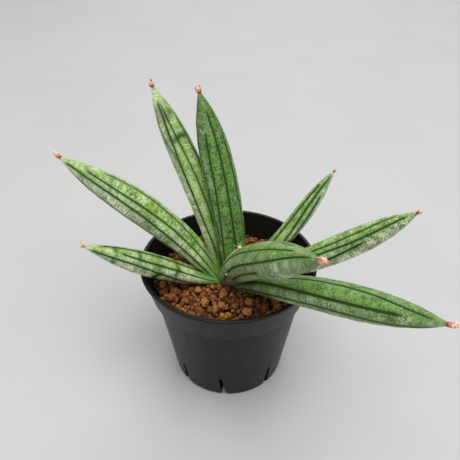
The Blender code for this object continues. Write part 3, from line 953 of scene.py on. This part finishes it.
def grit_mesh(settings):
    """The loose grit: small grains dropped one by one into the lowest of a few places."""
    draw = random.Random(settings.seed)
    shapes = grain_shapes(draw, GRAIN_SHAPES)
    heap = Heap(HEAP_CELL, LIP_RADIUS, SOIL_LEVEL - settings.bed_depth)
    obstacles = tree_of([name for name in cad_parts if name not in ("pot", "soil_bed")])
    bm = bmesh.new()
    tone = bm.verts.layers.float.new("tone")
    for number in range(settings.grains):
        size = settings.least + (settings.most - settings.least) * draw.random() ** SMALL_BIAS
        lump = number % LUMP_EVERY == 0
        if lump:
            size = draw.uniform(*LUMP_SIZES)
        radius = size / 2
        best = lowest_place(heap, draw, radius, lump)
        if best is None or best[0] > -SINK_SHARE * size:
            continue
        _, x, y, height = best
        place = Vector((x, y, height))
        if obstacles.find_nearest(place, radius * CLEAR_SHARE)[0] is not None:
            heap.settle(x, y, radius * LEFT_OUT_SHARE, height)
            continue
        heap.settle(x, y, radius * TOUCH_SHARE, height)
        about = Matrix.Rotation(draw.uniform(0, math.tau), 4, draw.choice("XYZ"))
        about @= Matrix.Rotation(draw.uniform(0, math.tau), 4, "Z")
        known = len(bm.verts)
        bm.from_mesh(shapes[number % len(shapes)])
        bm.verts.ensure_lookup_table()
        added = bm.verts[known:]
        matrix = Matrix.Translation(place) @ about @ Matrix.Scale(size, 4)
        bmesh.ops.transform(bm, verts=added, matrix=matrix)
        shade = draw.random() * (LUMP_TONE if lump else GRIT_TONE)
        if math.hypot(x - OCHRE_PLACE[0], y - OCHRE_PLACE[1]) < OCHRE_REACH:
            shade = OCHRE_TONE
        for point in added:
            point[tone] = shade
    return mesh_of("loose_grit", bm)


def lava_mesh(name, number):
    """One large porous grain, in the place and size that the design gives it."""
    low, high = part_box(name)
    bm = bmesh.new()
    tone = bm.verts.layers.float.new("tone")
    bmesh.ops.create_icosphere(bm, subdivisions=4, radius=0.5)
    shift = Vector((number * 3.1, number * 1.7, number * 2.3))
    for point in bm.verts:
        lumps = noise.noise(point.co * 3.5 + shift) * 0.5 + noise.noise(point.co * 8 + shift) * 0.26
        pits = min(noise.noise(point.co * 14 + shift), 0) * 0.22
        point.co *= 1 + lumps + pits
        point[tone] = (number * 0.37) % 0.7
    corners = np.array([point.co for point in bm.verts])
    size = corners.max(0) - corners.min(0)
    fit = Matrix.Diagonal([wide / own for wide, own in zip(high - low, size)] + [1])
    middle = Vector((corners.max(0) + corners.min(0)) / 2)
    matrix = Matrix.Translation((low + high) / 2) @ fit @ Matrix.Translation(-middle)
    bmesh.ops.transform(bm, verts=bm.verts, matrix=matrix)
    return mesh_of(name + "_lava", bm)


def leaf_directions(leaf, along):
    """Forward, sideways and upward directions of a leaf at places along it."""
    heading = np.radians(leaf.heading + leaf.swing * along)
    late_bend = leaf.curl * np.maximum(along, 0) ** 4
    rise = np.radians(leaf.rise + (leaf.tip_rise - leaf.rise) * along + late_bend)
    level = np.stack([np.cos(heading), np.sin(heading), np.zeros_like(heading)], -1)
    forward = level * np.cos(rise)[..., None] + np.array(UP) * np.sin(rise)[..., None]
    upward = np.array(UP) * np.cos(rise)[..., None] - level * np.sin(rise)[..., None]
    return forward, np.cross(forward, upward), upward


def leaf_spine(leaf, along):
    """Places on a leaf's middle line."""
    steps = np.linspace(-LEAF_EMBED / leaf.length, 1, 600)
    forward = leaf_directions(leaf, (steps[1:] + steps[:-1]) / 2)[0]
    line = np.vstack([np.zeros(3), np.cumsum(forward * np.diff(steps)[:, None] * leaf.length, 0)])
    foot = np.array((*leaf.foot, SOIL_LEVEL + leaf.lift))
    line += foot - [np.interp(0, steps, line[:, axis]) for axis in range(3)]
    return np.stack([np.interp(along, steps, line[:, axis]) for axis in range(3)], -1)


def leaf_half(leaf, along):
    """Half of a leaf's width at places along it."""
    swell = np.sin(np.clip(along / leaf.peak, 0, 1) * math.pi / 2)
    foot_share = leaf.foot_share + FOOT_SPREAD
    growing = foot_share + (1 - foot_share) * swell
    fading = 1 - np.clip((along - leaf.peak) / (1 - leaf.peak), 0, 1) ** leaf.point_power
    return np.maximum(leaf.width / 2 * np.where(along < leaf.peak, growing, fading), LEAF_POINT_LEAST)


def leaf_skin_points(leaf, along, around, out=0.0):
    """Places on a leaf's skin, moved outwards by a distance."""
    half = leaf_half(leaf, along)
    filled = 1 - (1 - np.clip(along / leaf.shaped_at, 0, 1)) ** 1.8
    thick = half * (FOOT_THICKNESS + (BLADE_THICKNESS - FOOT_THICKNESS) * filled)
    channel = thick * (FOOT_CHANNEL + (BLADE_CHANNEL - FOOT_CHANNEL) * filled)
    _, sideways, upward = leaf_directions(leaf, along)
    side = half * np.cos(around)
    up = thick * np.sin(around) - channel * np.maximum(np.sin(around), 0) ** 2
    side_slope = half * -np.sin(around)
    up_slope = (thick - 2 * channel * np.maximum(np.sin(around), 0)) * np.cos(around)
    slope = np.hypot(side_slope, up_slope) + 1e-12
    side = side + up_slope / slope * out
    up = up - side_slope / slope * out
    return leaf_spine(leaf, along) + sideways * side[..., None] + upward * up[..., None]


def groove_fields(leaf, along, around, width):
    """How deep in a groove each place lies and how near to one, both from 0 to 1."""
    deep = np.zeros_like(along)
    near = np.zeros_like(along)
    half = leaf_half(leaf, along)
    for groove in GROOVES[leaf.name]:
        knots = np.linspace(groove.start, groove.end, 4)
        line = np.polyfit(knots, groove.angles, 3)
        middle = np.radians(np.polyval(line, np.clip(along, *knots[[0, 3]])))
        turn_off = (around - middle + math.pi) % math.tau - math.pi
        apart = np.abs(turn_off) * half
        begun = np.clip((along - groove.start + GROOVE_LEAD) / GROOVE_FADE, 0, 1)
        fade = begun * np.clip((groove.end - along) / GROOVE_FADE, 0, 1)
        fade = fade * fade * (3 - 2 * fade)
        own = width * groove.weight * (0.45 + 0.55 * fade)
        most = min(groove.weight + 0.3, 1)
        deep = np.maximum(deep, np.exp(-((apart / own) ** 2)) * fade * most)
        near = np.maximum(near, np.exp(-((apart / (width * HALO_SPREAD)) ** 2)) * fade * most)
    return deep, near


def band_field(leaf, skin, along):
    """Strength of the cross bands at each place. A band wavers, and its strength changes round the leaf."""
    strength = np.zeros_like(along)
    for number, (middle, half, most) in enumerate(LOOKS[leaf.name].bands):
        shift = Vector((number * 5.3, number * 2.1, 0))
        for row in np.flatnonzero(np.abs(along - middle) < 3 * half + 0.03):
            round_place = Vector((skin[row][0], skin[row][1], 0)) + shift
            waver = noise.noise(round_place * 1.6) * BAND_WAVER
            share = 0.75 + 0.5 * noise.noise(round_place * 1.1 + UP)
            off = (along[row] - middle - waver) / half
            strength[row] = max(strength[row], most * share * math.exp(-(off**2)))
    return strength


def swelling_field(skin, wrinkle):
    """How far the skin stands out at each place: broad swellings and fine creases across the leaf."""
    out = np.zeros(len(skin))
    for number, place in enumerate(skin):
        spot = Vector(place)
        swelling = noise.noise(spot * 1.3) * BROAD_SWELLING + noise.noise(spot * 3.1) * SMALL_SWELLING
        crease = noise.noise(Vector((spot.x * 0.9, spot.y * 0.9, spot.z * 9.0)))
        out[number] = swelling + min(crease, 0.15) * wrinkle * 2.5
    return out


def blade_mesh(leaf, settings):
    """A leaf: a fine grid wrapped round its sections, with its grooves and creases in the skin."""
    bm = bmesh.new()
    bmesh.ops.create_grid(bm, x_segments=settings.around, y_segments=settings.along, size=0.5)
    flat = np.array([point.co for point in bm.verts])
    around = (flat[:, 0] + 0.5) * math.tau
    around[flat[:, 0].max() - flat[:, 0] < 1e-6] = 0.0
    start = -LEAF_EMBED / leaf.length
    along = start + (1 - start) * (1 - (0.5 - flat[:, 1]) ** CROWDING)
    deep, near = groove_fields(leaf, along, around, settings.groove_width)
    skin = np.stack([np.cos(around), np.sin(around), along * leaf.length / SKIN_UNIT], -1)
    out = swelling_field(skin, LOOKS[leaf.name].wrinkle)
    out = out - deep * settings.groove_depth - near * settings.groove_depth * HALO_DEPTH
    room = np.clip((1 - along) / 0.08, 0, 1)
    places = leaf_skin_points(leaf, along, around, out * room)
    tip = np.array([1.0])
    point_end = leaf_spine(leaf, tip)[0] + leaf_directions(leaf, tip)[0][0] * POINT_REACH
    places[along >= 1 - 1e-9] = point_end
    places[along <= start + 1e-9] = leaf_spine(leaf, np.array([start]))[0]
    skin_layer = bm.verts.layers.float_vector.new("skin")
    values = {"groove": deep, "beside": near, "along": along, "band": band_field(leaf, skin, along)}
    fields = [(bm.verts.layers.float.new(name), own) for name, own in values.items()]
    for number, point in enumerate(bm.verts):
        point.co = places[number]
        point[skin_layer] = skin[number]
        for layer, own in fields:
            point[layer] = own[number]
    bmesh.ops.remove_doubles(bm, verts=bm.verts, dist=FINE_WELD)
    bmesh.ops.recalc_face_normals(bm, faces=bm.faces)
    return mesh_of("blade_" + leaf.name, bm)


def thread_mesh(points, radius):
    """A thin tapering thread along a few points."""
    curve = bpy.data.curves.new("thread", "CURVE")
    curve.dimensions = "3D"
    curve.bevel_depth = radius
    curve.bevel_resolution = 2
    curve.use_fill_caps = True
    curve.resolution_u = 8
    spline = curve.splines.new("BEZIER")
    spline.bezier_points.add(len(points) - 1)
    for number, (knot, place) in enumerate(zip(spline.bezier_points, points)):
        knot.co = place
        knot.handle_left_type = knot.handle_right_type = "AUTO"
        knot.radius = 1 - 0.75 * number / (len(points) - 1)
    holder = bpy.data.objects.new("thread", curve)
    mesh = bpy.data.meshes.new_from_object(holder)
    bpy.data.objects.remove(holder)
    return mesh


def crumpled(bm, matrix, draw, roughness):
    """Adds a crumpled lump, 1 across before the matrix."""
    shift = random_shift(draw)
    lump = bmesh.ops.create_icosphere(bm, subdivisions=3, radius=0.5)["verts"]
    for point in lump:
        point.co *= 1 + roughness * noise.noise(point.co * 3.5 + shift)
    bmesh.ops.transform(bm, verts=lump, matrix=matrix)
    return lump


def point_mesh(leaf, draw):
    """The dry end of a leaf: a horn, papery lumps and a thread."""
    end = POINTS[leaf.name]
    directions = leaf_directions(leaf, np.array([1.0]))
    forward, sideways, upward = (Vector(direction[0]) for direction in directions)
    origin = Vector(leaf_spine(leaf, np.array([1.0]))[0])
    turned = Matrix((sideways, upward, forward)).transposed().to_4x4()
    turned.translation = origin
    bm = bmesh.new()
    dry = bm.verts.layers.float.new("dry")
    horn = Matrix.Translation((0, 0, -end.length * 0.10))
    horn @= Matrix.Diagonal((end.radius * 2.2, end.radius * 2.0, end.length * 1.15, 1))
    for point in crumpled(bm, turned @ horn, draw, 0.5):
        point[dry] = min(max((point.co - origin).dot(forward) / end.length + 0.40, 0), 1)
    for _ in range(end.lumps):
        angle = draw.uniform(0, math.tau)
        place = Vector((math.cos(angle), math.sin(angle), 0)) * end.radius * draw.uniform(0.3, 0.9)
        place.z = end.length * draw.uniform(0.1, 0.6)
        size = (draw.uniform(0.9, 1.4), draw.uniform(0.4, 0.8), draw.uniform(1.2, 2.0))
        lump = Matrix.Translation(place)
        lump @= Matrix.Rotation(draw.uniform(-0.7, 0.7), 4, "X")
        lump @= Matrix.Rotation(draw.uniform(0, 6.2), 4, "Z")
        lump @= Matrix.Diagonal([end.radius * share for share in size] + [1])
        shade = draw.uniform(0.15, 1.0)
        for point in crumpled(bm, turned @ lump, draw, 0.7):
            point[dry] = shade
    known = len(bm.verts)
    steps = [turned @ Vector((side, up, ahead)) for ahead, side, up in end.thread]
    thread = thread_mesh(steps, THREAD_RADIUS)
    bm.from_mesh(thread)
    bm.verts.ensure_lookup_table()
    for point in bm.verts[known:]:
        point[dry] = 0.75
    bmesh.ops.recalc_face_normals(bm, faces=bm.faces)
    return mesh_of("dry_point_" + leaf.name, bm)


def strip_mesh(draw):
    """The dry strip on the front leaf's sheath, with its hairs and the speck below it."""
    leaf = next(leaf for leaf in LEAVES if leaf.name == STRIP_LEAF)
    places = leaf_skin_points(leaf, np.array(STRIP_ALONG), np.radians(STRIP_ANGLES), STRIP_RADIUS / 2)
    places = [Vector(place) for place in places]
    end = places[-1]
    threads = [thread_mesh(places[::-1], STRIP_RADIUS)]
    for tip in HAIRS:
        middle = end + Vector(tip) * 0.5 + Vector((0.0004, 0, 0.0002))
        threads.append(thread_mesh([end, middle, end + Vector(tip)], HAIR_RADIUS))
    bm = bmesh.new()
    dry = bm.verts.layers.float.new("dry")
    for thread in threads:
        bm.from_mesh(thread)
    speck = Vector(leaf_skin_points(leaf, np.array([SPECK_ALONG]), np.radians([SPECK_ANGLE]))[0])
    lumps = zip((end, end + CRUMB_STEP, speck), (*CRUMB_SIZES, SPECK_SIZE))
    for place, size in lumps:
        crumpled(bm, Matrix.Translation(place) @ Matrix.Scale(size, 4), draw, 0.7)
    for point in bm.verts:
        point[dry] = 0.72
    bmesh.ops.recalc_face_normals(bm, faces=bm.faces)
    return mesh_of("dry_sheath_strip", bm)


# Operators, one for each group of pieces.


class PLANT_OT_pot(bpy.types.Operator):
    """Turn the pot and cut its drainage slits"""

    bl_idname = "plant.pot"
    bl_label = "Pot"

    def execute(self, context):
        settings = context.scene.plant_pot
        mesh = mesh_of("nursery_pot", turn(pot_profile(), settings.sides))
        mesh = with_cut(mesh, slit_wedges(settings.slit_width))
        finish_piece("nursery_pot", mesh, plastic_material(settings), "pot_plastic", "pot")
        return {"FINISHED"}


class PLANT_OT_soil(bpy.types.Operator):
    """Lay the bed, drop the loose grit on it and set the large lava grains"""

    bl_idname = "plant.soil"
    bl_label = "Soil"

    def execute(self, context):
        settings = context.scene.plant_soil
        # The bed is painted near-black: painted shade for the hollow behind the slits and the gaps between
        # the grains.
        packed = lava_material("packed grit", settings, 0.92)
        finish_piece("soil_bed_core", bed_mesh(settings), packed, "grit_bed", "soil_bed")
        loose = lava_material("loose grit", settings, 0.0)
        finish_piece("loose_grit", grit_mesh(settings), loose, "grit_bed", "soil_bed", angle=50)
        for number, name in enumerate(GRAIN_NODES):
            finish_piece(name + "_lava", lava_mesh(name, number), loose, "lava_grain", name, angle=180)
        return {"FINISHED"}


class PLANT_OT_leaves(bpy.types.Operator):
    """Loft the leaves with their grooves, and finish the stem that they stand on"""

    bl_idname = "plant.leaves"
    bl_label = "Leaves"

    def execute(self, context):
        settings = context.scene.plant_leaves
        for leaf in LEAVES:
            mesh = blade_mesh(leaf, settings)
            material = leaf_material(leaf, settings)
            finish_piece("blade_" + leaf.name, mesh, material, "leaf_skin", "leaf_" + leaf.name, angle=180)
        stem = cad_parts["short_stem"]
        stem.data.materials.clear()
        stem.data.materials.append(stem_material())
        return {"FINISHED"}


class PLANT_OT_points(bpy.types.Operator):
    """Add the dry, papery end of each leaf, and the dry strip at the foot of the front one"""

    bl_idname = "plant.points"
    bl_label = "Dry leaf points"

    def execute(self, context):
        settings = context.scene.plant_points
        material = dry_material(settings)
        draw = random.Random(settings.seed)
        for leaf in LEAVES:
            finish_piece("dry_point_" + leaf.name, point_mesh(leaf, draw), material, "leaf_skin", angle=180)
        finish_piece("dry_sheath_strip", strip_mesh(draw), material, "leaf_skin", angle=180)
        return {"FINISHED"}


class PLANT_OT_stage(bpy.types.Operator):
    """Lay the floor and set the lights and the camera"""

    bl_idname = "plant.stage"
    bl_label = "Stage"

    def execute(self, context):
        settings = context.scene.plant_stage
        scene = context.scene
        bm = bmesh.new()
        bmesh.ops.create_grid(bm, x_segments=1, y_segments=1, size=settings.floor_size / 2)
        mesh = mesh_of("floor", bm)
        mesh.materials.append(floor_material(settings))
        floor = bpy.data.objects.new("floor", mesh)
        scene.collection.objects.link(floor)
        for name, (place, size, power) in LIGHTS.items():
            add_light(name, place, size, power)
        world = bpy.data.worlds.new("studio")
        world.use_nodes = True
        sky = world.node_tree.nodes["Background"].inputs
        sky["Color"].default_value = SKY_COLOUR
        sky["Strength"].default_value = SKY_STRENGTH
        scene.world = world
        scene.view_settings.view_transform = "Standard"
        data = bpy.data.cameras.new("camera")
        data.lens = settings.focal_length
        data.sensor_width = SENSOR_WIDTH
        data.clip_start = NEAREST_SEEN
        camera = bpy.data.objects.new("camera", data)
        target = Vector((settings.target_side, 0, settings.target_height))
        camera.location = (settings.target_side, -settings.camera_distance, settings.camera_height)
        camera.rotation_euler = (target - camera.location).to_track_quat("-Z", "Y").to_euler()
        scene.collection.objects.link(camera)
        scene.camera = camera
        return {"FINISHED"}


def add_light(name, place, size, power):
    """A large soft square light that faces the pot."""
    data = bpy.data.lights.new(name, "AREA")
    data.shape = "SQUARE"
    data.size = size
    data.energy = power
    light = bpy.data.objects.new(name, data)
    light.location = place
    aim = LIGHT_TARGET - light.location
    light.rotation_euler = aim.to_track_quat("-Z", "Y").to_euler()
    bpy.context.scene.collection.objects.link(light)


class PLANT_PT_panel(bpy.types.Panel):
    """Lists the operators and their settings"""

    bl_idname = "PLANT_PT_panel"
    bl_label = "Snake Plant"
    bl_space_type = "VIEW_3D"
    bl_region_type = "UI"
    bl_category = "Snake Plant"

    def draw(self, context):
        for operator, group in STEPS:
            box = self.layout.box()
            box.operator(operator.bl_idname)
            settings = getattr(context.scene, group)
            for name in settings.__annotations__:
                box.prop(settings, name)


GROUPS = {
    "plant_pot": PotSettings,
    "plant_soil": SoilSettings,
    "plant_leaves": LeafSettings,
    "plant_points": PointSettings,
    "plant_stage": StageSettings,
}
STEPS = (
    (PLANT_OT_stage, "plant_stage"),
    (PLANT_OT_pot, "plant_pot"),
    (PLANT_OT_soil, "plant_soil"),
    (PLANT_OT_leaves, "plant_leaves"),
    (PLANT_OT_points, "plant_points"),
)
CLASSES = (*GROUPS.values(), *(operator for operator, _ in STEPS), PLANT_PT_panel)


def register():
    for each in CLASSES:
        bpy.utils.register_class(each)
    for name, group in GROUPS.items():
        setattr(bpy.types.Scene, name, PointerProperty(type=group))


def unregister():
    for name in GROUPS:
        delattr(bpy.types.Scene, name)
    for each in reversed(CLASSES):
        bpy.utils.unregister_class(each)


def main():
    register()
    bpy.ops.plant.stage()
    bpy.ops.plant.pot()
    bpy.ops.plant.soil()
    bpy.ops.plant.leaves()
    bpy.ops.plant.points()


if __name__ == "__main__":
    main()
